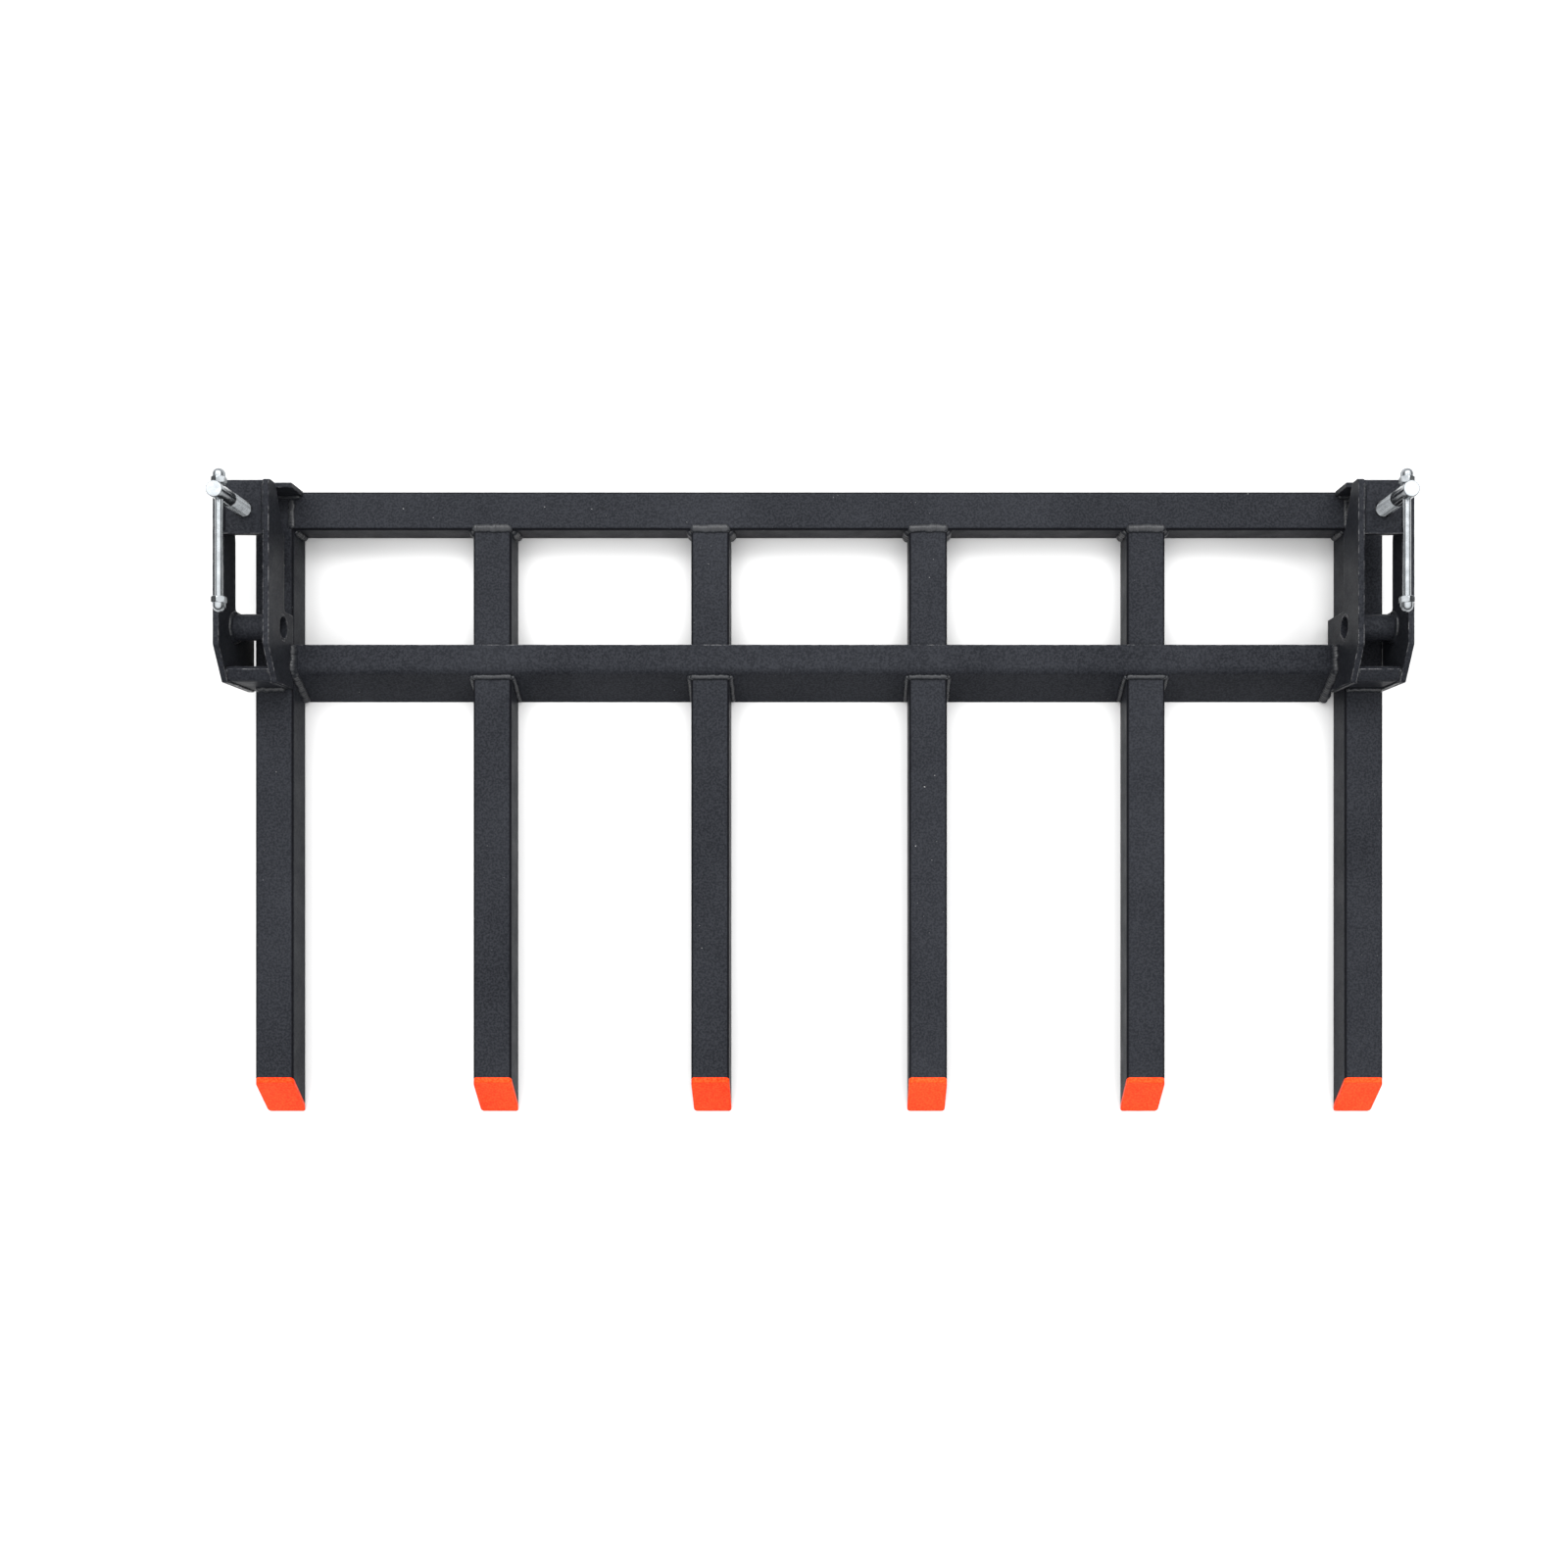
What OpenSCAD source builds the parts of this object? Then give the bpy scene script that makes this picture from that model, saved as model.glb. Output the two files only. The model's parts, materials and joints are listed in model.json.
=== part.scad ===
// Clamp-on pallet fork attachment for a loader bucket. Millimetres, +Z up, +Y to the rear.
// Origin: centre of the overall outline, on the plane that the tines rest on.

/* [Tines] */
// Distance between the centres of neighbouring tines
tine_pitch = 228; // [160:1:260]
// Outside size of the square tube
tube_size = 40; // [34:1:50]
// Wall thickness of the square tube
tube_wall = 3; // [2:0.5:4]
// Outside corner radius of the square tube
tube_radius = 3.5; // [3:0.1:4.5]
// Length from the rear face to the tips
fork_length = 653; // [600:1:900]
// How far the bevel at a tip runs back over the tine's height
tip_run = 35; // [20:1:45]
// Thickness of the plate that closes a bevelled tip
tip_thick = 4; // [3:0.5:6]

/* [Front stop bar] */
// Distance from the rear face to the bar's rear edge
stop_setback = 161; // [158:1:185]
// Depth of the bar, from its rear edge to its toe
stop_depth = 54; // [48:1:60]
// Thickness of the bar's bent sheet
stop_sheet = 5; // [4:0.5:6]
// Slope of the bar's front, in degrees from level
stop_slope = 60; // [52:1:66]

/* [Clamp brackets] */
// Width of a bracket over its two side plates
bracket_width = 56; // [54:1:60]
// Thickness of the side, front and nut plates
plate_thick = 6; // [5:0.5:6]
// How far the left bracket stands out past its tine
left_overhang = 16; // [16:1:20]
// How far the right bracket stands out past its tine
right_overhang = 6; // [6:0.5:8]
// Height of the side plates
plate_height = 112; // [108:1:125]
// Length of the side plates, front to rear
plate_length = 201; // [190:1:205]
// Height of the throat that takes the bucket lip
throat_height = 27; // [20:1:30]
// Depth of the throat, from the plates' rear edge
throat_depth = 125; // [115:1:130]
// Height of the throat's mouth at the rear edge
mouth_height = 53; // [45:1:56]

/* [Spacer tube] */
// Outside diameter of the spacer tube
spacer_d = 27; // [24:0.5:28]
// Bore of the spacer tube
spacer_bore = 22.4; // [18:0.1:22.4]

/* [Clamp screws] */
// Diameter of the clamp screw
screw_d = 16; // [12:1:16]
// Height of the screw's head above the ground plane
screw_top = 181; // [170:1:190]
// Height of the pad's underside above the ground plane
pad_rest = 62; // [50:1:66]
// Diameter of the T-bar
bar_d = 8; // [6:1:8]
// Length of the T-bar between its two nuts
bar_clear = 109; // [80:1:120]

/* [Hidden] */
$fn = 64;
tine_count = 6;
sides = ["left", "right"];
side_parts = [
    "outer_plate", "inner_plate", "front_plate", "nut_plate", "weld_nut", "spacer_tube",
    "heel_plate", "tine_end_cap", "pressure_pad", "clamp_screw", "t_bar",
    "front_bar_nut", "rear_bar_nut"
];

black = [0.21, 0.22, 0.24];
orange = [0.98, 0.33, 0.16];
zinc = [0.78, 0.79, 0.8];

// Clearances and small features
gap = 0.1;        // radial room round a welded-in tube
running = 0.05;   // radial room of a turning or sliding fit
slot_room = 1;    // room on each side of a tine in the stop bar
arc_steps = 8;

// Overall placing
overall_width = (tine_count - 1) * tine_pitch + tube_size + left_overhang + right_overhang;
rear_y = fork_length / 2;
tip_y = -fork_length / 2;
tube_front_y = rear_y - tube_size;
first_tine_x = -overall_width / 2 + left_overhang + tube_size / 2;
function tine_x(i) = first_tine_x + (i - 1) * tine_pitch;
function is_end_tine(i) = i == 1 || i == tine_count;

// Stop bar profile
stop_rear_y = rear_y - stop_setback;
stop_toe_y = stop_rear_y - stop_depth;
stop_top = tube_size + stop_sheet;
stop_bend = 10;
stop_toe_width = stop_sheet / sin(stop_slope);
function stop_face_y(z) = stop_toe_y + z / tan(stop_slope);

// Side plate profile
plate_setback = 5.5;                       // the plates stop short of the rear face
plate_rear_y = rear_y - plate_setback;
plate_front_y = plate_rear_y - plate_length;
jaw_z = tube_size + throat_height;
mouth_z = tube_size + mouth_height;
ramp_run = 49;
chamfer_run = 35;
chamfer_drop = 24;
low_foot_z = 15;                           // foot of a plate that hangs beside its tine
throat_end_y = plate_rear_y - throat_depth;

// Front plate, just inside the side plates' front outline
front_inset = 1;
front_lap = 14;                            // how far it runs back along the chamfer

// Nut plate, weld nut, screw and pad
nut_plate_thick = 8;
nut_plate_depth = 54;
nut_plate_drop = 7;                        // the side plates' top stands this far above it
nut_plate_z = plate_height - nut_plate_drop - nut_plate_thick;
nut_plate_hole = screw_d + 1;
nut_height = 13;
nut_flats = 24;
screw_setback = 29;
screw_y = plate_rear_y - screw_setback;
screw_point_d = 10;
screw_point = 4;
pad_d = 26;
pad_thick = 6;
pad_play = 0.2;

// Spacer tube and heel plate
spacer_setback = 142;
spacer_y = plate_rear_y - spacer_setback;
spacer_z = 69;
heel_thick = 5;
heel_height = 35;
heel_reach = 10;

// T-bar and its nuts
bar_drop = 14;                             // from the screw's head down to the bar
bar_z = screw_top - bar_drop;
bar_nut_flats = 13;
bar_nut_hex = 6.5;
bar_nut_dome = 6.2;
bar_nut_neck = 2.3;
bar_nut_bore = 10.5;
bar_end_room = 0.5;                        // between the bar's end and the bore's bottom
bar_play = 0.3;
bar_rear_y = screw_y + screw_d / 2 + bar_play;
bar_front_y = bar_rear_y - bar_clear;

// Where each bracket and its plates start along X
function bracket_low_x(side) = side == "left" ? -overall_width / 2 : overall_width / 2 - bracket_width;
function bracket_mid_x(side) = bracket_low_x(side) + bracket_width / 2;
function end_tine_x(side) = tine_x(side == "left" ? 1 : tine_count);
function inner_plate_x(side) = bracket_low_x(side) + (side == "left" ? bracket_width - plate_thick : 0);
function outer_plate_x(side) = bracket_low_x(side) + (side == "left" ? 0 : bracket_width - plate_thick);
// A side plate that is over its tine stands on it, and one beside it hangs lower
function over_tine(side, x) = abs(x + plate_thick / 2 - end_tine_x(side)) < tube_size / 2;
function foot_z(side, x) = over_tine(side, x) ? tube_size : low_foot_z;

// Outline with rounded corners: each point is [x, y, radius]
function unit(v) = v / norm(v);
function corner(a, p, b, r) =
    let (
        u = unit([a[0] - p[0], a[1] - p[1]]),
        v = unit([b[0] - p[0], b[1] - p[1]]),
        half = acos(u * v) / 2,
        centre = [p[0], p[1]] + unit(u + v) * r / sin(half),
        start = [p[0], p[1]] + u * r / tan(half) - centre,
        end = [p[0], p[1]] + v * r / tan(half) - centre,
        a0 = atan2(start[1], start[0]),
        turn = atan2(end[1], end[0]) - a0,
        sweep = turn > 180 ? turn - 360 : turn < -180 ? turn + 360 : turn
    )
    [for (k = [0 : arc_steps]) centre + r * [cos(a0 + sweep * k / arc_steps), sin(a0 + sweep * k / arc_steps)]];
function rounded(pts) = [
    for (i = [0 : len(pts) - 1])
        let (
            n = len(pts),
            p = pts[i],
            arc = p[2] > 0 ? corner(pts[(i + n - 1) % n], p, pts[(i + 1) % n], p[2]) : [[p[0], p[1]]]
        )
        each arc
];

// Lays a Y-Z outline down and gives it a thickness along X
module along_x(x, thick) {
    translate([x, 0, 0]) rotate([90, 0, 90]) linear_extrude(thick) children();
}

// Lays an X-Z outline down and gives it a length along Y
module along_y(y, length) {
    translate([0, y + length, 0]) rotate([90, 0, 0]) linear_extrude(length) children();
}

// Rounded square made of true arcs, standing on the X axis
module rounded_square(size, radius) {
    inner = size - 2 * radius;
    union() {
        translate([-inner / 2, 0]) square([inner, size]);
        translate([-size / 2, radius]) square([size, inner]);
        for (x = [-inner / 2, inner / 2], y = [radius, size - radius]) {
            translate([x, y]) circle(radius);
        }
    }
}

module tube_profile() {
    difference() {
        rounded_square(tube_size, tube_radius);
        bore_profile();
    }
}

module bore_profile() {
    bore_radius = max(tube_radius - tube_wall, 0.5);
    translate([0, tube_wall]) rounded_square(tube_size - 2 * tube_wall, bore_radius);
}

// Everything ahead of the tip's sloping plane, moved back by some depth square to it
module ahead_of_tip(depth, x) {
    back = depth / sin(atan2(tube_size, tip_run));
    reach = 20;
    points = [
        [tip_y + back - reach * tip_run / tube_size, -reach],
        [tip_y + back + (tube_size + reach) * tip_run / tube_size, tube_size + reach],
        [tip_y - 4 * reach, tube_size + reach],
        [tip_y - 4 * reach, -reach]
    ];
    along_x(x - tube_size, 2 * tube_size) polygon(points);
}

module tine(i) {
    length = is_end_tine(i) ? fork_length : fork_length - tube_size;
    color(black) difference() {
        translate([tine_x(i), 0, 0]) along_y(tip_y, length) tube_profile();
        ahead_of_tip(tip_thick, tine_x(i));
    }
}

module tine_tip(i) {
    tip_length = tip_run + 3 * tip_thick;
    color(orange) intersection() {
        difference() {
            translate([tine_x(i), 0, 0]) along_y(tip_y, tip_length) rounded_square(tube_size, tube_radius);
            ahead_of_tip(0, tine_x(i));
        }
        ahead_of_tip(tip_thick, tine_x(i));
    }
}

module rear_cross_tube() {
    low_x = tine_x(1) + tube_size / 2;
    high_x = tine_x(tine_count) - tube_size / 2;
    color(black) translate([0, rear_y - tube_size / 2, 0]) along_x(low_x, high_x - low_x) tube_profile();
}

module front_stop_bar() {
    low_x = inner_plate_x("left") + plate_thick;
    high_x = inner_plate_x("right");
    slot = tube_size + 2 * slot_room;
    points = [
        [stop_rear_y, stop_top, 0],
        [stop_face_y(stop_top), stop_top, stop_bend],
        [stop_toe_y, 0, 0],
        [stop_toe_y + stop_toe_width, 0, 0],
        [stop_face_y(tube_size) + stop_toe_width, tube_size, stop_bend - stop_sheet],
        [stop_rear_y, tube_size, 0]
    ];
    color(black) difference() {
        along_x(low_x, high_x - low_x) polygon(rounded(points));
        for (i = [2 : tine_count - 1]) {
            translate([tine_x(i) - slot / 2, stop_toe_y - 1, -1]) cube([slot, stop_depth + 2, tube_size + 1]);
        }
    }
}

// One side plate of a bracket, with the throat cut into its rear
module side_plate(side, x) {
    foot = foot_z(side, x);
    points = [
        [plate_rear_y, plate_height, 4],
        [plate_front_y + chamfer_run, plate_height, 3],
        [plate_front_y, plate_height - chamfer_drop, 3],
        [plate_front_y, foot, 0],
        [throat_end_y, foot, 0],
        [throat_end_y, jaw_z, 4],
        [plate_rear_y - ramp_run, jaw_z, 20],
        [plate_rear_y, mouth_z, 4]
    ];
    color(black) difference() {
        along_x(x, plate_thick) polygon(rounded(points));
        translate([x - 1, spacer_y, spacer_z]) rotate([0, 90, 0]) cylinder(d = spacer_d + 2 * gap, h = plate_thick + 2);
    }
}

module outer_plate(side) {
    side_plate(side, outer_plate_x(side));
}

module inner_plate(side) {
    side_plate(side, inner_plate_x(side));
}

// Bent plate that closes the bracket's front and is notched over the tine
module front_plate(side) {
    slope = atan2(chamfer_drop, chamfer_run);
    face_y = plate_front_y + front_inset;
    bend_z = plate_height - chamfer_drop - front_inset;
    back_y = face_y + plate_thick;
    top_y = face_y + front_lap * cos(slope);
    top_z = bend_z + front_lap * sin(slope);
    points = [
        [top_y, top_z, 0],
        [face_y, bend_z, plate_thick + 2],
        [face_y, low_foot_z, 0],
        [back_y, low_foot_z, 0],
        [back_y, bend_z - plate_thick * tan((90 - slope) / 2), 2],
        [top_y + plate_thick * sin(slope), top_z - plate_thick * cos(slope), 0]
    ];
    low_x = bracket_low_x(side) + plate_thick;
    color(black) difference() {
        along_x(low_x, bracket_width - 2 * plate_thick) polygon(rounded(points));
        translate([end_tine_x(side) - tube_size / 2, face_y - 1, low_foot_z - 1])
            cube([tube_size, plate_thick + 2, tube_size - low_foot_z + 1]);
    }
}

module nut_plate(side) {
    low_x = bracket_low_x(side) + plate_thick;
    width = bracket_width - 2 * plate_thick;
    color(black) difference() {
        translate([low_x, plate_rear_y - nut_plate_depth, nut_plate_z])
            cube([width, nut_plate_depth, nut_plate_thick]);
        translate([bracket_mid_x(side), screw_y, nut_plate_z - 1])
            cylinder(d = nut_plate_hole, h = nut_plate_thick + 2);
    }
}

module weld_nut(side) {
    color(black) translate([bracket_mid_x(side), screw_y, nut_plate_z - nut_height]) difference() {
        cylinder(d = nut_flats / cos(30), h = nut_height, $fn = 6);
        translate([0, 0, -1]) cylinder(d = screw_d + 2 * running, h = nut_height + 2);
    }
}

module spacer_tube(side) {
    color(black) translate([bracket_low_x(side), spacer_y, spacer_z]) rotate([0, 90, 0]) difference() {
        cylinder(d = spacer_d, h = bracket_width);
        translate([0, 0, -1]) cylinder(d = spacer_bore, h = bracket_width + 2);
    }
}

// Upright plate across the end of the tine, which the underside of the lip bears on
module heel_plate(side) {
    width = tube_size + heel_reach;
    low_x = end_tine_x(side) - tube_size / 2 - (side == "left" ? 0 : heel_reach);
    color(black) translate([low_x, rear_y - heel_thick, tube_size]) cube([width, heel_thick, heel_height]);
}

module tine_end_cap(side) {
    color(black) translate([end_tine_x(side), 0, 0]) along_y(rear_y - tube_wall, tube_wall) bore_profile();
}

module pressure_pad(side) {
    socket = screw_point + 2 * pad_play;
    color(zinc) translate([bracket_mid_x(side), screw_y, pad_rest]) difference() {
        cylinder(d = pad_d, h = pad_thick);
        translate([0, 0, pad_thick - socket]) cylinder(d = screw_point_d + 2 * running, h = socket + 1);
    }
}

module clamp_screw(side) {
    shoulder_z = pad_rest + pad_thick + pad_play;
    color(zinc) difference() {
        translate([bracket_mid_x(side), screw_y, 0]) union() {
            translate([0, 0, shoulder_z]) cylinder(d = screw_d, h = screw_top - shoulder_z);
            translate([0, 0, shoulder_z - screw_point]) cylinder(d = screw_point_d, h = screw_point + 1);
        }
        translate([bracket_mid_x(side), screw_y - screw_d, bar_z])
            rotate([-90, 0, 0]) cylinder(d = bar_d + 2 * running, h = 2 * screw_d);
    }
}

module t_bar(side) {
    in_nut = bar_nut_bore - bar_end_room;
    color(zinc) translate([bracket_mid_x(side), bar_front_y - in_nut, bar_z])
        rotate([-90, 0, 0]) cylinder(d = bar_d, h = bar_clear + 2 * in_nut);
}

// Acorn nut with its flat face at the origin and its dome towards +Z
module acorn_nut() {
    dome_z = bar_nut_hex + bar_nut_neck;
    color(zinc) difference() {
        union() {
            cylinder(d = bar_nut_flats / cos(30), h = bar_nut_hex, $fn = 6);
            cylinder(r = bar_nut_dome, h = dome_z);
            translate([0, 0, dome_z]) sphere(bar_nut_dome);
        }
        translate([0, 0, -1]) cylinder(d = bar_d + 2 * running, h = bar_nut_bore + 1);
    }
}

module front_bar_nut(side) {
    translate([bracket_mid_x(side), bar_front_y, bar_z]) rotate([90, 0, 0]) acorn_nut();
}

module rear_bar_nut(side) {
    translate([bracket_mid_x(side), bar_rear_y, bar_z]) rotate([-90, 0, 0]) acorn_nut();
}

rear_cross_tube();
front_stop_bar();
for (i = [1 : tine_count]) {
    tine(i);
    tine_tip(i);
}
for (s = sides) {
    outer_plate(s);
    inner_plate(s);
    front_plate(s);
    nut_plate(s);
    weld_nut(s);
    spacer_tube(s);
    heel_plate(s);
    tine_end_cap(s);
    pressure_pad(s);
    clamp_screw(s);
    t_bar(s);
    front_bar_nut(s);
    rear_bar_nut(s);
}
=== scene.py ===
import json
import math
import random
from collections import namedtuple

import bpy
from mathutils import Matrix, Vector


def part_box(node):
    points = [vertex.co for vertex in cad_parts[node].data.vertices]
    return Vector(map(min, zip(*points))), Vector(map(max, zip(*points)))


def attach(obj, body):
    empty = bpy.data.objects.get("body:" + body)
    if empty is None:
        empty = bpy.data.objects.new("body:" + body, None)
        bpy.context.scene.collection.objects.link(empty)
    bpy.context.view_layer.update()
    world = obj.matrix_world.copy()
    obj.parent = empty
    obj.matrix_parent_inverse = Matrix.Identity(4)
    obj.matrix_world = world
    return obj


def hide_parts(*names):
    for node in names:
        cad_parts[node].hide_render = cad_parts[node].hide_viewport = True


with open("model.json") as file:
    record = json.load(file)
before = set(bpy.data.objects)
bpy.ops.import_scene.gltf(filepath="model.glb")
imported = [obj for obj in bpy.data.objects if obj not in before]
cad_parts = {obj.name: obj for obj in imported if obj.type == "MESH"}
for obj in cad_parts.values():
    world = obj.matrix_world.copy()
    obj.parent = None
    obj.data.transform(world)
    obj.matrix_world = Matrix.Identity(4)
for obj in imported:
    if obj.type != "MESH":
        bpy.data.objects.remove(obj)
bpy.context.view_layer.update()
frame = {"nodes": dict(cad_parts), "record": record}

MM = 0.001
SIDES = ("left", "right")
MIDDLE_TINES = (2, 3, 4, 5)
END_TINE = {"left": "tine_1", "right": "tine_6"}
INBOARD = {"left": 1, "right": -1}
UP = (0, 0, 1)


def low(node):
    return Vector(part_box(node)[0])


def high(node):
    return Vector(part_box(node)[1])


def middle(node):
    return (low(node) + high(node)) / 2


def face_x(node, way):
    """X of the face of a node that looks one way along X, 1 or -1."""
    return high(node).x if way > 0 else low(node).x


def link(name, mesh):
    """A new object in the scene for a mesh, a light or a camera."""
    made = bpy.data.objects.new(name, mesh)
    bpy.context.scene.collection.objects.link(made)
    return made


# ---------------------------------------------------------------- shader nodes

def add(tree, kind, inputs=None, **settings):
    """A new shader node with its settings, its plain input values and its links."""
    made = tree.nodes.new(kind)
    for key, value in settings.items():
        setattr(made, key, value)
    for socket, value in (inputs or {}).items():
        if isinstance(value, bpy.types.NodeSocket):
            tree.links.new(value, made.inputs[socket])
        else:
            made.inputs[socket].default_value = value
    return made


def noise(tree, where, scale, detail=2.0, roughness=0.55):
    made = add(tree, "ShaderNodeTexNoise",
               {"Vector": where, "Scale": scale, "Detail": detail, "Roughness": roughness})
    return made.outputs["Fac"]


def spread(tree, value, start, end, to_start=0.0, to_end=1.0):
    """Maps start..end to to_start..to_end and holds the ends."""
    made = add(tree, "ShaderNodeMapRange",
               {"Value": value, "From Min": start, "From Max": end, "To Min": to_start, "To Max": to_end})
    return made.outputs["Result"]


def maths(tree, operation, a, b=0.0, clamp=True):
    return add(tree, "ShaderNodeMath", {0: a, 1: b}, operation=operation, use_clamp=clamp).outputs[0]


def blend(tree, amount, a, b):
    """Colour a where the amount is zero and colour b where it is one."""
    made = add(tree, "ShaderNodeMix", data_type="RGBA")
    for index, value in ((0, amount), (6, a), (7, b)):
        if isinstance(value, bpy.types.NodeSocket):
            tree.links.new(value, made.inputs[index])
        else:
            made.inputs[index].default_value = (*value, 1.0)
    return made.outputs[2]


def bump(tree, normal, where, scale, strength, depth):
    """A normal roughened by fine noise."""
    made = add(tree, "ShaderNodeBump", {"Height": noise(tree, where, scale), "Strength": strength,
                                        "Distance": depth, "Normal": normal})
    return made.outputs[0]


def uneven_gloss(tree, where, scale, smoothest, roughest):
    """A roughness that drifts between two values."""
    return spread(tree, noise(tree, where, scale, detail=4.0), 0.3, 0.7, smoothest, roughest)


def rounded_normal(tree, radius):
    """The normal as it would be if sharp edges were rounded."""
    return add(tree, "ShaderNodeBevel", {"Radius": radius}, samples=6).outputs[0]


def edge_mask(tree, rounded):
    """One at a sharp edge, where the rounded normal leans away from the flat one, and zero elsewhere."""
    flat = tree.nodes.new("ShaderNodeNewGeometry").outputs["Normal"]
    lean = add(tree, "ShaderNodeVectorMath", {0: rounded, 1: flat}, operation="DOT_PRODUCT").outputs["Value"]
    return spread(tree, lean, start=0.995, end=0.86)


def corner_shade_mask(tree):
    """Mask for painted shade: one on the rounded long corners of a square tube, zero on its flats."""
    normal = tree.nodes.new("ShaderNodeTexCoord").outputs["Normal"]
    parts = add(tree, "ShaderNodeSeparateXYZ", {0: normal}).outputs
    x, y, z = (maths(tree, "ABSOLUTE", parts[axis], clamp=False) for axis in "XYZ")
    return spread(tree, maths(tree, "MAXIMUM", maths(tree, "MAXIMUM", x, y), z), start=0.97, end=0.85)


def start_material(name):
    """A material with one shader. Returns it with its tree, its shader and its object coordinates."""
    made = bpy.data.materials.new(name)
    made.use_nodes = True
    tree = made.node_tree
    tree.nodes.clear()
    output = tree.nodes.new("ShaderNodeOutputMaterial")
    shader = tree.nodes.new("ShaderNodeBsdfPrincipled")
    tree.links.new(shader.outputs[0], output.inputs["Surface"])
    where = tree.nodes.new("ShaderNodeTexCoord").outputs["Object"]
    return made, tree, shader, where


# ---------------------------------------------------------------- materials

CLOUD_SHARE = 0.35                      # of the coat's colour change; the rest is fine mottle
CORNER_PAINTED_SHADE = (0.003, 0.003, 0.004)     # painted shade on a tube's rounded corners, which face the dim gap between the lights
# how strongly the painted shade darkens a tube's rounded corners
CORNER_SHADE_SHARE = 0.8


def paint(name, deep, pale, chip, rough, grain, chips=(0.62, 0.70), specular=0.5, edge=1.2 * MM, tube=False):
    """Sprayed coat: cloudy colour between deep and pale, a fine orange-peel skin, and chips on rubbed edges.

    Grain is the scale of the orange peel, chips the noise levels that a chip fades in between, and edge
    how far in from an edge the coat is rubbed. On a tube, shade is painted darker on the rounded corners.
    """
    made, tree, shader, where = start_material(name)
    rounded = rounded_normal(tree, edge)

    cloud = spread(tree, noise(tree, where, scale=9.0, detail=4.0), start=0.32, end=0.68)
    mottle = spread(tree, noise(tree, where, scale=480.0, detail=3.0), start=0.40, end=0.60)
    tone = maths(tree, "ADD", maths(tree, "MULTIPLY", cloud, CLOUD_SHARE),
                 maths(tree, "MULTIPLY", mottle, 1 - CLOUD_SHARE))
    colour = blend(tree, tone, deep, pale)
    # painted shade: a tube's rounded corners darkened where they face between the lights
    if tube:
        colour = blend(tree, maths(tree, "MULTIPLY", corner_shade_mask(tree), CORNER_SHADE_SHARE), colour, CORNER_PAINTED_SHADE)

    rubbed = spread(tree, noise(tree, where, scale=130.0, detail=5.0, roughness=0.7), *chips)
    rubbed = maths(tree, "MULTIPLY", rubbed, edge_mask(tree, rounded))
    specks = spread(tree, noise(tree, where, scale=420.0), start=0.76, end=0.79)
    patches = spread(tree, noise(tree, where, scale=14.0), start=0.48, end=0.58)
    worn = maths(tree, "MAXIMUM", rubbed, maths(tree, "MULTIPLY", specks, patches))
    tree.links.new(blend(tree, worn, colour, chip), shader.inputs["Base Color"])

    tree.links.new(uneven_gloss(tree, where, 35.0, rough - 0.06, rough + 0.07), shader.inputs["Roughness"])
    shader.inputs["Specular IOR Level"].default_value = specular

    peel = bump(tree, rounded, where, scale=grain, strength=0.5, depth=0.12 * MM)
    dents = bump(tree, peel, where, scale=60.0, strength=0.12, depth=0.5 * MM)
    tree.links.new(dents, shader.inputs["Normal"])
    return made


def bright_metal(name, deep, pale, rough):
    """Zinc plate: a little cloudy, with a faint grain and uneven gloss."""
    made, tree, shader, where = start_material(name)
    cloud = spread(tree, noise(tree, where, scale=90.0, detail=4.0), start=0.3, end=0.7)
    tree.links.new(blend(tree, cloud, deep, pale), shader.inputs["Base Color"])
    shader.inputs["Metallic"].default_value = 1.0
    tree.links.new(uneven_gloss(tree, where, 260.0, rough - 0.05, rough + 0.07), shader.inputs["Roughness"])
    rounded = rounded_normal(tree, 0.5 * MM)
    grain = bump(tree, rounded, where, scale=1400.0, strength=0.12, depth=0.06 * MM)
    tree.links.new(grain, shader.inputs["Normal"])
    return made


def pale_floor():
    made, tree, shader, where = start_material("pale_floor")
    cloud = spread(tree, noise(tree, where, scale=3.0, detail=3.0), start=0.3, end=0.7)
    tree.links.new(blend(tree, cloud, (0.63, 0.63, 0.63), (0.67, 0.67, 0.67)), shader.inputs["Base Color"])
    shader.inputs["Roughness"].default_value = 0.8
    shader.inputs["Specular IOR Level"].default_value = 0.2
    return made


BLACK = {"deep": (0.0085, 0.0094, 0.0118), "pale": (0.0235, 0.0250, 0.0298),
         "rough": 0.42, "grain": 1500.0, "specular": 0.03}
COAT = paint("black_powder_coat", **BLACK, chip=(0.19, 0.19, 0.195), chips=(0.47, 0.62), edge=1.6 * MM)
# the square tubes' coat, with painted shade on their rounded corners
SHADED_TUBE_COAT = paint("black_tube_coat_painted_shade", **BLACK, chip=(0.40, 0.40, 0.40), tube=True)
WELD = paint("coated_weld", deep=(0.008, 0.0088, 0.0108), pale=(0.017, 0.0185, 0.022),
             chip=(0.50, 0.50, 0.50), chips=(0.67, 0.72), rough=0.30, grain=700.0,
             specular=0.30, edge=0.4 * MM)
TIP = paint("orange_tip_paint", deep=(0.70, 0.020, 0.001), pale=(0.84, 0.080, 0.015), chip=(0.85, 0.38, 0.27),
            rough=0.42, grain=1200.0, chips=(0.72, 0.80), specular=0.06)
ZINC = bright_metal("zinc_plate", deep=(0.215, 0.230, 0.242), pale=(0.32, 0.337, 0.350), rough=0.20)
FINISH = {"black_coat": COAT, "tip_orange": TIP, "zinc": ZINC}
SQUARE_TUBES = {"rear_cross_tube"} | {f"tine_{i}" for i in range(1, 7)}

for entry in frame["record"]["subparts"]:
    coat = SHADED_TUBE_COAT if entry["node"] in SQUARE_TUBES else FINISH[entry["material_slot"]]
    part = frame["nodes"][entry["node"]]
    part.data.materials.clear()
    part.data.materials.append(coat)


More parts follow.
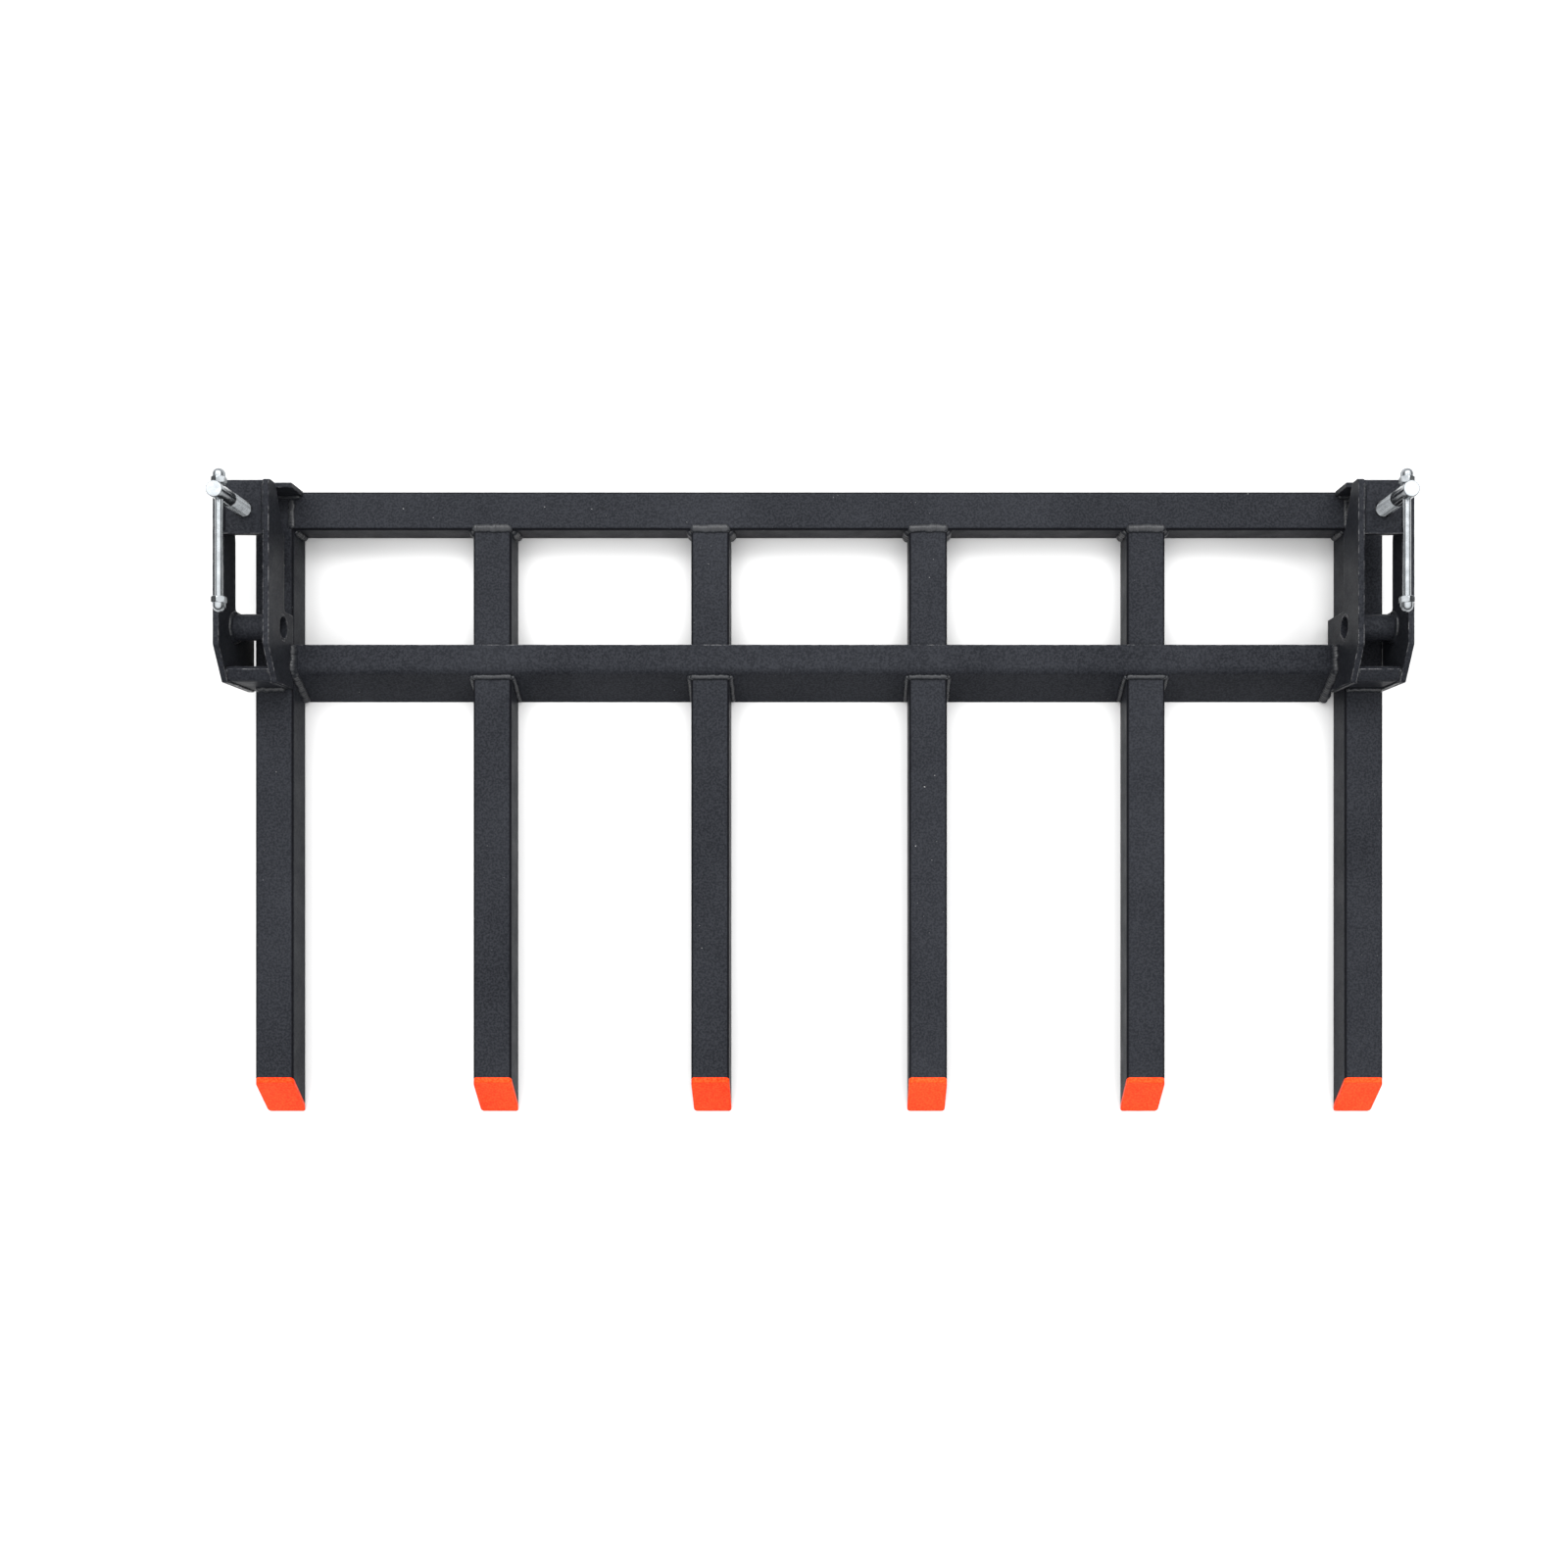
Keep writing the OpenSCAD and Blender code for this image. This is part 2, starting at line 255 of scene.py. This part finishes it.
def piece(name, verts, faces, material, body):
    """A smooth-shaded mesh piece that rides a body and fills a material slot."""
    mesh = bpy.data.meshes.new(name)
    mesh.from_pydata([tuple(v) for v in verts], [], faces)
    mesh.validate()
    mesh.update()
    mesh.polygons.foreach_set("use_smooth", [True] * len(mesh.polygons))
    mesh.materials.append(material)
    made = link(name, mesh)
    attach(made, body)
    return made


def between_rings(faces, a, b, count):
    """Faces between two rings of points, which start at a and b and have the same count."""
    for j in range(count):
        n = (j + 1) % count
        faces.append((a + j, a + n, b + n, b + j))


def cap_ends(faces, first, last, count):
    """Closes the first and the last ring of a tube of rings."""
    faces.append(tuple(first + j for j in reversed(range(count))))
    faces.append(tuple(last + j for j in range(count)))


# ---------------------------------------------------------------- weld beads

RIPPLE = 3.2 * MM                       # spacing of the crescents along a bead
RIPPLE_RISE = 0.13                      # of the bead's size
RIPPLE_FALL = 1.5                       # how sharply a ripple falls away, as a power
CRESCENT = 0.42                         # how far a crescent's ends trail its middle, in ripples
SWELL_SPACING = 4 * MM                  # spacing of a bead's random swells
WIDTH_SWELL = 0.11
HEIGHT_SWELL = 0.14
DRIFT = 0.06                            # sideways wander, of the bead's width
DRIFT_LAG = 7 * MM
SMALLEST_END = 0.02                     # square of a rounded end's size at its tip, of the bead's size
BEAD_SIDES = 14
STATIONS_PER_RIPPLE = 5

# One run of weld: its places, its outward direction or one for each place, and its section
Run = namedtuple("Run", "places ups width height closed", defaults=(False,))


def along(places, ups, closed):
    """Even stations on a run: the distance, place and outward direction of each, and the run's length."""
    if closed:
        places, ups = places + places[:1], ups + ups[:1]
    lengths = [(b - a).length for a, b in zip(places, places[1:])]
    total = sum(lengths)
    count = max(4, round(total / (RIPPLE / STATIONS_PER_RIPPLE)))
    stations = []
    for k in range(count if closed else count + 1):
        left = total * k / count
        i = 0
        while i < len(lengths) - 1 and left > lengths[i]:
            left -= lengths[i]
            i += 1
        t = min(1.0, left / lengths[i])
        stations.append((total * k / count, places[i].lerp(places[i + 1], t), ups[i].lerp(ups[i + 1], t)))
    return stations, total


def wander(values, distance, closed):
    """A smooth random value at a distance along a run."""
    whole, part = divmod(distance / SWELL_SPACING, 1)
    i = int(whole)
    t = part * part * (3 - 2 * part)
    n = len(values) - 3 if closed else len(values)
    return values[i % n] * (1 - t) + values[(i + 1) % n] * t


def add_bead(verts, faces, draw, run):
    """An oval rope sunk in its joint, with crescent ripples and uneven width."""
    closed = run.closed
    places = [Vector(place) for place in run.places]
    ups = run.ups if isinstance(run.ups, list) else [run.ups] * len(places)
    stations, total = along(places, [Vector(up).normalized() for up in ups], closed)
    swells = [draw.uniform(-1, 1) for _ in range(int(total / SWELL_SPACING) + 4)]
    sways = [draw.uniform(-1, 1) for _ in swells]
    first = len(verts)
    count = len(stations)

    for k, (s, place, up) in enumerate(stations):
        ahead = stations[(k + 1) % count][1] if closed or k + 1 < count else place
        behind = stations[k - 1][1] if closed or k else place
        forward = (ahead - behind).normalized()
        side = forward.cross(up).normalized()
        lift = side.cross(forward).normalized()
        end = 1.0
        if not closed:
            reach = min(s, total - s) / (run.width / 2)
            end = math.sqrt(max(SMALLEST_END, 1 - (1 - min(1.0, reach)) ** 2))
        wide = run.width / 2 * end * (1 + WIDTH_SWELL * wander(swells, s, closed))
        tall = run.height * end * (1 + HEIGHT_SWELL * wander(sways, s, closed))
        centre = place + side * (DRIFT * run.width * wander(sways, s + DRIFT_LAG, closed))
        for j in range(BEAD_SIDES):
            a = 2 * math.pi * j / BEAD_SIDES
            phase = (s / RIPPLE + CRESCENT * math.cos(a) ** 2) % 1.0
            rise = 1 + RIPPLE_RISE * (1 - phase) ** RIPPLE_FALL
            verts.append(centre + side * (wide * rise * math.cos(a)) + lift * (tall * rise * math.sin(a)))
    for k in range(count if closed else count - 1):
        between_rings(faces, first + k * BEAD_SIDES, first + (k + 1) % count * BEAD_SIDES, BEAD_SIDES)
    if not closed:
        cap_ends(faces, first, first + (count - 1) * BEAD_SIDES, BEAD_SIDES)


def weld(name, runs):
    """One piece of weld made of several runs."""
    draw = random.Random(name)
    verts, faces = [], []
    for run in runs:
        add_bead(verts, faces, draw, run)
    return piece(name, verts, faces, WELD, "rack")


TINE_TOP = high("rear_cross_tube").z
JOINT_Y = low("rear_cross_tube").y      # the tines' butt joint with the rear tube
SLOPE = math.radians(60)                # of the stop bar's front, from level
BEND_RADIUS = 10 * MM                   # outside of the stop bar's bend
BEND_STEPS = 6
TOE_GAP = 2 * MM                        # between a weld's lower end and the stop bar's toe
STOP_OUT = Vector((0, -math.sin(SLOPE), math.cos(SLOPE)))
MID_HEIGHT = 20 * MM                    # a point halfway down a run on a tube's side


def stop_face(z, off=0.0):
    """Y of the stop bar's sloping face at a height, moved out square to it."""
    return low("front_stop_bar").y + z / math.tan(SLOPE) - off / math.sin(SLOPE)


def stop_profile(x, off):
    """The stop bar's outside from its rear edge to its toe, as places and outward directions."""
    top = high("front_stop_bar")
    places = [Vector((x, top.y, top.z + off))]
    ups = [Vector(UP)]
    bend_y = stop_face(top.z) + BEND_RADIUS * math.tan(SLOPE / 2)
    centre = Vector((x, bend_y, top.z - BEND_RADIUS))
    for k in range(BEND_STEPS + 1):
        a = SLOPE * k / BEND_STEPS
        out = Vector((0, -math.sin(a), math.cos(a)))
        places.append(centre + out * (BEND_RADIUS + off))
        ups.append(out)
    places.append(Vector((x, stop_face(TOE_GAP, off), TOE_GAP)))
    ups.append(STOP_OUT)
    return places, ups


def corner_run(x, out, below_top, width, height):
    """An upright bead in the corner between the rear tube and a tine's side."""
    clear = 1.2 * MM
    heights = (4 * MM, MID_HEIGHT, TINE_TOP - below_top)
    return Run([(x + out * clear, JOINT_Y - clear, z) for z in heights], (out, -1, 0), width, height)


def weld_tine_rear(tine):
    """A tine's butt joint with the rear tube, across its top and down its sides."""
    x0, x1 = low(tine).x, high(tine).x
    past, y, z = 1.2 * MM, JOINT_Y + 1.6 * MM, TINE_TOP - 0.4 * MM
    runs = [Run([(x0 - past, y, z), (x1 + past, y, z)], UP, width=9.4 * MM, height=2.8 * MM)]
    for x, out in ((x0, -1), (x1, 1)):
        runs.append(corner_run(x, out, below_top=3.5 * MM, width=10.0 * MM, height=3.4 * MM))
    weld(f"{tine}_rear_weld", runs)


def weld_tine_stop(tine):
    """The stop bar's slot round a tine, across its top and down its sides."""
    x0, x1 = low(tine).x, high(tine).x
    past, y, z = 1 * MM, stop_face(TINE_TOP, 2 * MM), TINE_TOP + 0.2 * MM
    runs = [Run([(x0 - past, y, z), (x1 + past, y, z)], (0, -0.6, 1), width=5.6 * MM, height=2.4 * MM)]
    for x, out in ((x0, -1), (x1, 1)):
        heights = (TINE_TOP, MID_HEIGHT, 2.5 * MM)
        places = [(x + out * 1.6 * MM, stop_face(z, 0.8 * MM), z) for z in heights]
        runs.append(Run(places, Vector((out, 0, 0)) + STOP_OUT, width=6.0 * MM, height=2.4 * MM))
    weld(f"{tine}_stop_weld", runs)


class Bracket:
    """Where one clamp bracket's faces are. The inner plate is the one nearer the middle of the rack."""

    def __init__(self, side):
        self.side = side
        self.to_mid = INBOARD[side]
        self.inner_inboard = face_x(f"{side}_inner_plate", self.to_mid)
        self.inner_inside = face_x(f"{side}_inner_plate", -self.to_mid)
        self.outer_inside = face_x(f"{side}_outer_plate", self.to_mid)
        self.insides = ((self.inner_inside, -self.to_mid), (self.outer_inside, self.to_mid))
        self.tine_inboard = face_x(END_TINE[side], self.to_mid)
        self.tine_outboard = face_x(END_TINE[side], -self.to_mid)
        self.front_low = low(f"{side}_front_plate")
        self.front_high = high(f"{side}_front_plate")
        self.on_tine = TINE_TOP + 0.3 * MM


def weld_stop_end(at):
    """The stop bar's end against the inner plate."""
    places, ups = stop_profile(at.inner_inboard + at.to_mid * 2.2 * MM, 0.8 * MM)
    ups = [(u + Vector((at.to_mid, 0, 0))).normalized() for u in ups]
    weld(f"{at.side}_stop_end_weld", [Run(places, ups, width=10.5 * MM, height=3.4 * MM)])


def weld_front_plate(at):
    """The front plate's foot on the tine and its two upright seams, which turn back over the bend."""
    wide_foot = at.side == "left"       # the left inner plate stands on its tine, the right one beside it
    ends = sorted((at.tine_outboard, at.inner_inside if wide_foot else at.tine_inboard))
    y = at.front_low.y - 1.6 * MM
    foot = [(ends[0] + 1 * MM, y, at.on_tine), (ends[1] - 1 * MM, y, at.on_tine)]
    runs = [Run(foot, (0, -0.8, 1), width=8.2 * MM if wide_foot else 6 * MM, height=3.0 * MM)]
    bend_z = at.front_high.z - 9 * MM
    for x, out in at.insides:
        heights = (low(f"{at.side}_outer_plate").z + 3 * MM, 50 * MM, bend_z)
        seam = [(x, at.front_low.y - 0.2 * MM, z) for z in heights]
        runs.append(Run(seam, (0, -1, 0), width=4.4 * MM, height=1.5 * MM))
        x_in = x + out * 1.2 * MM
        back = [(x_in, at.front_low.y + 8 * MM, bend_z + 5.2 * MM),
                (x_in, at.front_high.y - 4 * MM, at.front_high.z - 0.5 * MM)]
        runs.append(Run(back, (out, -0.5, 0.8), width=4.2 * MM, height=1.6 * MM))
    weld(f"{at.side}_front_plate_weld", runs)


def weld_side_plates(at):
    """The side plates along the end tine: on its top at the left, beside it at the right."""
    rear_y = 190 * MM
    if at.side == "left":
        x = at.inner_inside - 1.3 * MM
        seam = [(x, at.front_low.y + 9 * MM, at.on_tine), (x, rear_y, at.on_tine)]
        runs = [Run(seam, (-1, 0, 1), width=5.6 * MM, height=2.2 * MM)]
    else:
        front_y, z = low("right_inner_plate").y + 10 * MM, TINE_TOP - 3 * MM
        runs = []
        for x0, x1 in ((at.inner_inside, at.tine_inboard), (at.tine_outboard, at.outer_inside)):
            x = (x0 + x1) / 2
            runs.append(Run([(x, front_y, z), (x, rear_y, z)], UP, width=5.0 * MM, height=2.2 * MM))
    weld(f"{at.side}_tine_weld", runs)


def weld_nut_plate(at):
    """The nut plate between the side plates."""
    plate_low, plate_high = low(f"{at.side}_nut_plate"), high(f"{at.side}_nut_plate")
    front_y, rear_y, z = plate_low.y + 1.5 * MM, plate_high.y - 3 * MM, plate_high.z + 0.4 * MM
    runs = []
    for x, out in at.insides:
        x_in = x + out * 1.3 * MM
        seam = [(x_in, front_y, z), (x_in, rear_y, z)]
        runs.append(Run(seam, (out, 0, 1), width=6.6 * MM, height=2.4 * MM))
    weld(f"{at.side}_nut_plate_weld", runs)


def ring(x, centre, radius, lean, count=48):
    """Places and outward directions round a tube that runs along X. The directions lean along X."""
    places, ups = [], []
    for k in range(count):
        a = 2 * math.pi * k / count
        out = Vector((0, math.cos(a), math.sin(a)))
        places.append(Vector((x, centre.y, centre.z)) + out * radius)
        ups.append((out + Vector((lean, 0, 0))).normalized())
    return places, ups


def weld_spacer(at):
    """The spacer tube, all round at each side plate."""
    tube = f"{at.side}_spacer_tube"
    radius = (high(tube).z - low(tube).z) / 2 + 1 * MM
    runs = []
    for x, out in at.insides:
        places, ups = ring(x + out * 0.7 * MM, middle(tube), radius, out)
        runs.append(Run(places, ups, width=5.4 * MM, height=1.9 * MM, closed=True))
    weld(f"{at.side}_spacer_weld", runs)


def weld_rear_tube(at):
    """The rear tube's end against the end tine."""
    x, z = at.tine_inboard - at.to_mid * 2 * MM, TINE_TOP - 0.4 * MM
    seam = [(x, JOINT_Y + 1 * MM, z), (x, high("rear_cross_tube").y - 6 * MM, z)]
    weld(f"{at.side}_rear_tube_weld", [
        Run(seam, UP, width=7.0 * MM, height=2.0 * MM),
        corner_run(at.tine_inboard, at.to_mid, below_top=4 * MM, width=7.5 * MM, height=2.6 * MM)])


def weld_heel(at):
    """The heel plate's foot on the end tine."""
    heel_low, heel_high = low(f"{at.side}_heel_plate"), high(f"{at.side}_heel_plate")
    y, z = heel_low.y - 1.2 * MM, TINE_TOP + 0.4 * MM
    foot = [(heel_low.x + 2 * MM, y, z), (heel_high.x - 2 * MM, y, z)]
    weld(f"{at.side}_heel_weld", [Run(foot, (0, -1, 1), width=5.6 * MM, height=2.2 * MM)])


for i in MIDDLE_TINES:
    weld_tine_rear(f"tine_{i}")
    weld_tine_stop(f"tine_{i}")

for side in SIDES:
    bracket = Bracket(side)
    weld_stop_end(bracket)
    weld_front_plate(bracket)
    weld_side_plates(bracket)
    weld_nut_plate(bracket)
    weld_spacer(bracket)
    weld_rear_tube(bracket)
    weld_heel(bracket)


# ------------------------------------------------------ turned and threaded parts

TURN_STEPS = 72
DRILL_STEPS = 40
CHAMFER_RINGS = 8
CREASE = math.radians(35)


def sharpen(mesh):
    """Marks the creases so that flats and chamfers stay crisp under smooth shading."""
    mesh.set_sharp_from_angle(angle=CREASE)


def turned(name, rings, place, slot, body, node, bored=False):
    """A closed body of revolution that stands for a CAD node.

    Each ring is (height, radius) and a radius may be a function of the angle. A bored body's last ring
    is joined back to its first; any other body has flat ends.
    """
    verts, faces = [], []
    for z, radius in rings:
        for j in range(TURN_STEPS):
            a = 2 * math.pi * j / TURN_STEPS
            r = radius(a) if callable(radius) else radius
            verts.append(place @ Vector((r * math.cos(a), r * math.sin(a), z)))
    last = (len(rings) - 1) * TURN_STEPS
    for start in range(0, last, TURN_STEPS):
        between_rings(faces, start, start + TURN_STEPS, TURN_STEPS)
    if bored:
        between_rings(faces, last, 0, TURN_STEPS)
    else:
        cap_ends(faces, 0, last, TURN_STEPS)
    made = piece(name, verts, faces, FINISH[slot], body)
    sharpen(made.data)
    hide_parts(node)
    return made


def steps(start, end, count):
    return [start + (end - start) * k / count for k in range(count + 1)]


def chamfered(flats, cone):
    """Radius of a hexagon at an angle, from its width across flats, cut back to a cone's radius."""
    def radius(a):
        full = flats / 2 / math.cos((a + math.pi / 6) % (math.pi / 3) - math.pi / 6)
        return min(full, cone)
    return radius


def hexagon_rings(foot, top, flats, face, depth, flare, begin=0.1, end=0.9):
    """Rings of a hexagon chamfered at both ends, between the plain rings that close it.

    Face is the radius at its ends, and flare what the radius gains over a chamfer's depth. The lower
    chamfer is drawn from its share begin, and the upper one to its share end.
    """
    rings = [(foot + depth * t, chamfered(flats, face + flare * t)) for t in steps(begin, 1, CHAMFER_RINGS)]
    for t in steps(0, end, CHAMFER_RINGS):
        rings.append((top - depth * (1 - t), chamfered(flats, face + flare * (1 - t))))
    return rings


def acorn_nut(name, node, body, place):
    """An M8 acorn nut: a chamfered hexagon, a short neck and a round dome."""
    face, hexagon, dome = 6.3 * MM, 6.5 * MM, 6.2 * MM
    neck = hexagon + 2.3 * MM
    rings = [(0.0, face)]
    rings += hexagon_rings(0.0, hexagon, flats=13 * MM, face=face,
                           depth=0.9 * MM, flare=1.25 * MM, end=0.95)
    rings += [(hexagon, dome), (neck, dome)]
    for a in map(math.radians, steps(4, 86, 14)):
        rings.append((neck + dome * math.sin(a), dome * math.cos(a)))
    turned(name, rings, place, "zinc", body, node)


THREAD_PITCH = 2.0 * MM
THREAD_DEPTH = 1.15 * MM
THREAD_FLANK = 2.6                      # steepness of the flanks
THREAD_ROOT = 0.15                      # how far below the root the flanks meet, which leaves it flat
RINGS_PER_TURN = 10
POINT_RADIUS = 5 * MM                   # of the pilot on the screw's foot
POINT_LENGTH = 4 * MM
SHANK_BELOW_HOLE = 22 * MM              # plain shank between the thread and the T-bar's axis


def thread_radius(z, a, outer, ends):
    """Radius of a right-hand thread that fades out at both ends."""
    phase = (z / THREAD_PITCH - a / (2 * math.pi)) % 1.0
    ridge = min(1.0, max(0.0, (0.5 - abs(phase - 0.5)) * THREAD_FLANK - THREAD_ROOT))
    fade = min(1.0, max(0.0, (z - ends[0]) / THREAD_PITCH), max(0.0, (ends[1] - z) / THREAD_PITCH))
    return outer - THREAD_DEPTH * (1 - ridge) * fade


def cut_hole(part, centre, radius, reach):
    """Drills a round hole along Y through a piece."""
    verts, faces = [], []
    for y in (-reach, reach):
        for j in range(DRILL_STEPS):
            a = 2 * math.pi * j / DRILL_STEPS
            verts.append((centre.x + radius * math.cos(a), centre.y + y, centre.z + radius * math.sin(a)))
    between_rings(faces, 0, DRILL_STEPS, DRILL_STEPS)
    cap_ends(faces, 0, DRILL_STEPS, DRILL_STEPS)
    mesh = bpy.data.meshes.new("drill")
    mesh.from_pydata(verts, [], faces)
    drill = link("drill", mesh)
    cut = part.modifiers.new("hole", "BOOLEAN")
    cut.operation, cut.solver, cut.object = "DIFFERENCE", "EXACT", drill
    result = bpy.data.meshes.new_from_object(part.evaluated_get(bpy.context.evaluated_depsgraph_get()))
    part.modifiers.clear()
    part.data = result
    bpy.data.objects.remove(drill)
    sharpen(part.data)


def threaded_screw(side, at_screw):
    """The clamp screw: a pilot, an M16 thread, a plain shank and a cross hole for the T-bar."""
    screw, bar = f"{side}_clamp_screw", f"{side}_t_bar"
    foot, top = low(screw).z, high(screw).z
    shoulder = foot + POINT_LENGTH
    outer = (high(screw).x - low(screw).x) / 2
    hole = Vector((middle(screw).x, middle(screw).y, middle(bar).z))
    ends = (shoulder + 1.4 * MM, hole.z - SHANK_BELOW_HOLE)
    pilot_edge, shoulder_edge, head_edge = 0.8 * MM, 1.2 * MM, 0.7 * MM

    rings = [(foot, POINT_RADIUS - pilot_edge), (foot + pilot_edge, POINT_RADIUS), (shoulder, POINT_RADIUS),
             (shoulder + 0.02 * MM, outer - shoulder_edge), (shoulder + shoulder_edge, outer)]
    count = round((ends[1] - ends[0]) / THREAD_PITCH * RINGS_PER_TURN)
    for z in steps(*ends, count):
        rings.append((z, lambda a, z=z: thread_radius(z, a, outer, ends)))
    rings += [(z, outer) for z in steps(ends[1] + 1 * MM, top - 0.9 * MM, 6)]
    rings += [(top - 0.5 * MM, outer - 0.1 * MM), (top, outer - head_edge), (top, 2.0 * MM)]
    made = turned(f"{side}_threaded_screw", rings, at_screw, "zinc", f"{side}_screw", screw)
    cut_hole(made, hole, (high(bar).x - low(bar).x) / 2 + 0.1 * MM, 3 * outer)


def swivel_pad(side, at_screw):
    """The pressure pad: a rimmed foot, a collar and a socket for the screw's pilot."""
    node = f"{side}_pressure_pad"
    foot, top = low(node).z, high(node).z
    rim = (high(node).x - low(node).x) / 2
    collar = POINT_RADIUS + 3.2 * MM
    socket = POINT_RADIUS + 0.1 * MM
    rings = [(foot, 3 * MM), (foot, rim - 1.2 * MM), (foot + 1.0 * MM, rim), (foot + 2.6 * MM, rim),
             (foot + 3.4 * MM, rim - 1.4 * MM), (top - 0.8 * MM, collar), (top, collar - 0.8 * MM),
             (top, socket), (foot + 1.6 * MM, socket), (foot + 1.5 * MM, 1 * MM)]
    turned(f"{side}_swivel_pad", rings, at_screw, "zinc", f"{side}_pad", node)


def hex_nut(side, at_screw):
    """The M16 weld nut under the nut plate."""
    node, screw = f"{side}_weld_nut", f"{side}_clamp_screw"
    foot, top = low(node).z, high(node).z
    face = 11.4 * MM
    bore = (high(screw).x - low(screw).x) / 2 + 0.05 * MM
    rings = [(foot, bore), (foot, face)]
    rings += hexagon_rings(foot, top, flats=24 * MM, face=face, depth=1.4 * MM, flare=2.6 * MM)
    rings += [(top, face), (top, bore)]
    turned(f"{side}_hex_nut", rings, at_screw, "black_coat", "rack", node, bored=True)


for side in SIDES:
    axis = middle(f"{side}_clamp_screw")
    at_screw = Matrix.Translation((axis.x, axis.y, 0))
    threaded_screw(side, at_screw)
    swivel_pad(side, at_screw)
    hex_nut(side, at_screw)
    for end, turn in (("front", 90), ("rear", -90)):
        nut = f"{side}_{end}_bar_nut"
        start_y = high(nut).y if end == "front" else low(nut).y
        at_bar = Matrix.Translation((axis.x, start_y, middle(f"{side}_t_bar").z))
        place = at_bar @ Matrix.Rotation(math.radians(turn), 4, "X")
        acorn_nut(f"{side}_{end}_acorn_nut", nut, f"{side}_bar", place)


# ------------------------------------------------------------ floor, light, camera

SKY_ABOVE, SKY_FRONT, SKY_REAR = 2.7, 0.05, 1.2
BOX_SIZE, BOX_POWER = 3.0, 165


def studio_floor():
    half, drop = 30.0, 0.3 * MM
    mesh = bpy.data.meshes.new("studio_floor")
    corners = [(-half, -half, -drop), (half, -half, -drop), (half, half, -drop), (-half, half, -drop)]
    mesh.from_pydata(corners, [], [(0, 1, 2, 3)])
    mesh.materials.append(pale_floor())
    made = link("studio_floor", mesh)


def studio_sky():
    """Soft white from above and from the rear, dim at the sides and front, behind a plain white backdrop."""
    world = bpy.data.worlds.new("studio_sky")
    bpy.context.scene.world = world
    world.use_nodes = True
    tree = world.node_tree
    tree.nodes.clear()
    way = tree.nodes.new("ShaderNodeTexCoord").outputs["Generated"]
    parts = add(tree, "ShaderNodeSeparateXYZ", {0: way})
    rise = spread(tree, parts.outputs["Z"], start=0.3, end=0.85)
    around = spread(tree, parts.outputs["Y"], start=0.1, end=0.9, to_start=SKY_FRONT, to_end=SKY_REAR)
    gain = maths(tree, "SUBTRACT", SKY_ABOVE, around, clamp=False)
    glow = add(tree, "ShaderNodeMath", {0: gain, 1: rise, 2: around}, operation="MULTIPLY_ADD").outputs[0]
    sky = add(tree, "ShaderNodeBackground", {"Color": (1, 1, 1, 1), "Strength": glow})
    backdrop = add(tree, "ShaderNodeBackground", {"Color": (1, 1, 1, 1), "Strength": 1.0})
    seen = tree.nodes.new("ShaderNodeLightPath").outputs["Is Camera Ray"]
    either = add(tree, "ShaderNodeMixShader", {0: seen, 1: sky.outputs[0], 2: backdrop.outputs[0]})
    output = tree.nodes.new("ShaderNodeOutputWorld")
    tree.links.new(either.outputs[0], output.inputs["Surface"])


def soft_box(name, place):
    """A square light aimed at the origin."""
    light = bpy.data.lights.new(name, "AREA")
    light.shape = "SQUARE"
    light.size = BOX_SIZE
    light.energy = BOX_POWER
    made = link(name, light)
    made.location = place
    made.rotation_euler = (-Vector(place)).to_track_quat("-Z", "Y").to_euler()


def camera():
    """Looks straight down. The shift frames the object as the photograph does."""
    data = bpy.data.cameras.new("camera")
    data.sensor_width = 36.0
    data.lens = 36.0
    data.shift_x = -0.03
    data.shift_y = 0.081
    data.clip_end = 100.0
    made = link("camera", data)
    made.location = (0.0175, -0.1122, 1.680)
    bpy.context.scene.camera = made


studio_floor()
studio_sky()
soft_box("rear_left_box", (-1.8, 3.6, 5.0))
soft_box("rear_right_box", (1.8, 3.6, 5.0))
camera()
bpy.context.scene.view_settings.view_transform = "Standard"
